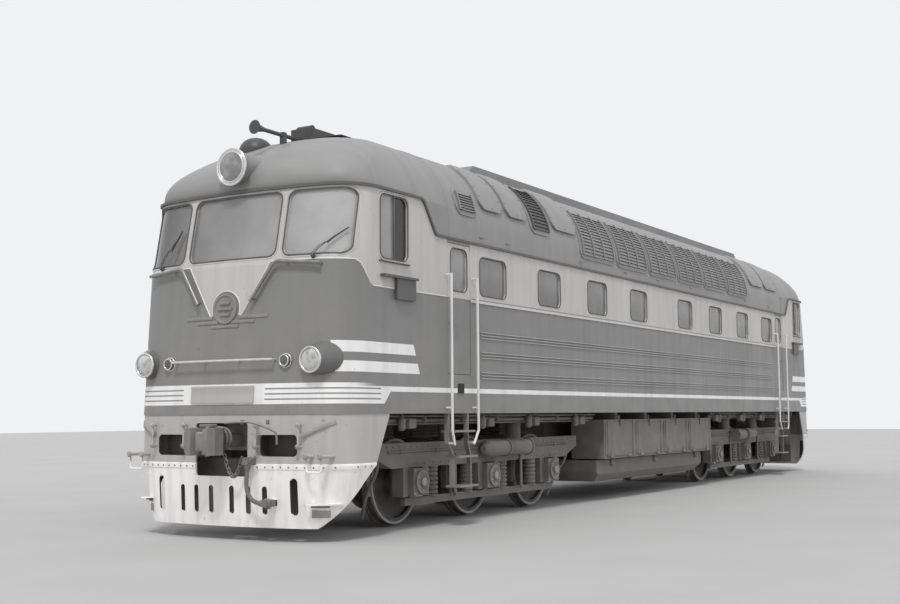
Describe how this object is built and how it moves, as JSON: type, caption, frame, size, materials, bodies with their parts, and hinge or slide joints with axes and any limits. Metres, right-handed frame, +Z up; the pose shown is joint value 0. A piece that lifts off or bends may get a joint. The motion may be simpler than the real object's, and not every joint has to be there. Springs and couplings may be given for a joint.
{
  "type": "diesel locomotive",
  "caption": "Long diesel locomotive with a rounded cab at each end, ribbed sides, louvred roof, low pilots and three-axle bogies.",
  "frame": {"origin": "on the floor under the middle of the body, at the height of the wheel flanges' lowest points", "axes": "+X forward along the body, +Y to the left side, +Z up"},
  "size_m": [19.8, 3.322, 4.9796],
  "materials": {
    "body_paint": "satin",
    "roof_paint": "satin",
    "pilot_paint": "satin",
    "rail_paint": "satin",
    "inner_paint": "matt",
    "dark_steel": "matt",
    "wheel_steel": "satin",
    "bright_trim": "polished",
    "seat_leather": "satin",
    "rubber": "matt",
    "glass": "polished"
  },
  "bodies": {
    "locomotive_body": {"battery_boxes": "dark_steel", "body_glass": "glass", "body_side_left": "body_paint", "body_side_right": "body_paint", "bulkheads": "inner_paint", "cab_desks": "inner_paint", "cab_glass": "glass", "cab_seats": "seat_leather", "door_rails": "rail_paint", "engine_block": "dark_steel", "engine_roof": "roof_paint", "entrance_steps": "dark_steel", "front_brake_hose": "rubber", "front_cab": "body_paint", "front_cab_roof": "roof_paint", "front_coupler": "dark_steel", "front_pilot": "pilot_paint", "fuel_tank": "dark_steel", "horns": "roof_paint", "lower_lamps": "bright_trim", "nose_rails": "bright_trim", "rain_gutter": "bright_trim", "rear_brake_hose": "rubber", "rear_cab": "body_paint", "rear_cab_roof": "roof_paint", "rear_coupler": "dark_steel", "rear_pilot": "pilot_paint", "roof_duct": "roof_paint", "roof_lamps": "bright_trim", "roof_louvres": "roof_paint", "underframe": "dark_steel"},
    "front_bogie": {"front_bogie_frame": "dark_steel", "front_axle_boxes": "dark_steel", "front_brake_gear": "dark_steel", "front_traction_motors": "dark_steel", "front_springs": "dark_steel"},
    "front_wheelset_1": {"front_wheelset_1": "wheel_steel"},
    "front_wheelset_2": {"front_wheelset_2": "wheel_steel"},
    "front_wheelset_3": {"front_wheelset_3": "wheel_steel"},
    "front_left_door": {"front_left_door": "body_paint", "front_left_door_glass": "glass"},
    "front_right_door": {"front_right_door": "body_paint", "front_right_door_glass": "glass"},
    "rear_bogie": {"rear_bogie_frame": "dark_steel", "rear_axle_boxes": "dark_steel", "rear_brake_gear": "dark_steel", "rear_traction_motors": "dark_steel", "rear_springs": "dark_steel"},
    "rear_wheelset_1": {"rear_wheelset_1": "wheel_steel"},
    "rear_wheelset_2": {"rear_wheelset_2": "wheel_steel"},
    "rear_wheelset_3": {"rear_wheelset_3": "wheel_steel"},
    "rear_left_door": {"rear_left_door": "body_paint", "rear_left_door_glass": "glass"},
    "rear_right_door": {"rear_right_door": "body_paint", "rear_right_door_glass": "glass"}
  },
  "joints": [
    {"name": "front_bogie_swivel", "type": "hinge", "parent": "locomotive_body", "child": "front_bogie", "pos_m": [5.47, 0, 1.03], "axis": [0, 0, 1], "range_deg": [-3, 3]},
    {"name": "front_wheelset_1_spin", "type": "hinge", "parent": "front_bogie", "child": "front_wheelset_1", "pos_m": [7.27, 0, 0.555], "axis": [0, 1, 0], "continuous": true},
    {"name": "front_wheelset_2_spin", "type": "hinge", "parent": "front_bogie", "child": "front_wheelset_2", "pos_m": [5.47, 0, 0.555], "axis": [0, 1, 0], "continuous": true},
    {"name": "front_wheelset_3_spin", "type": "hinge", "parent": "front_bogie", "child": "front_wheelset_3", "pos_m": [3.67, 0, 0.555], "axis": [0, 1, 0], "continuous": true},
    {"name": "front_left_door_hinge", "type": "hinge", "parent": "locomotive_body", "child": "front_left_door", "pos_m": [6.614, 1.492, 2.675], "axis": [0, 0, -1], "range_deg": [0, 85]},
    {"name": "front_right_door_hinge", "type": "hinge", "parent": "locomotive_body", "child": "front_right_door", "pos_m": [6.614, -1.492, 2.675], "axis": [0, 0, 1], "range_deg": [0, 85]},
    {"name": "rear_bogie_swivel", "type": "hinge", "parent": "locomotive_body", "child": "rear_bogie", "pos_m": [-5.47, 0, 1.03], "axis": [0, 0, 1], "range_deg": [-3, 3]},
    {"name": "rear_wheelset_1_spin", "type": "hinge", "parent": "rear_bogie", "child": "rear_wheelset_1", "pos_m": [-7.27, 0, 0.555], "axis": [0, 1, 0], "continuous": true},
    {"name": "rear_wheelset_2_spin", "type": "hinge", "parent": "rear_bogie", "child": "rear_wheelset_2", "pos_m": [-5.47, 0, 0.555], "axis": [0, 1, 0], "continuous": true},
    {"name": "rear_wheelset_3_spin", "type": "hinge", "parent": "rear_bogie", "child": "rear_wheelset_3", "pos_m": [-3.67, 0, 0.555], "axis": [0, 1, 0], "continuous": true},
    {"name": "rear_left_door_hinge", "type": "hinge", "parent": "locomotive_body", "child": "rear_left_door", "pos_m": [-6.614, 1.492, 2.675], "axis": [0, 0, 1], "range_deg": [0, 85]},
    {"name": "rear_right_door_hinge", "type": "hinge", "parent": "locomotive_body", "child": "rear_right_door", "pos_m": [-6.614, -1.492, 2.675], "axis": [0, 0, -1], "range_deg": [0, 85]}
  ]
}
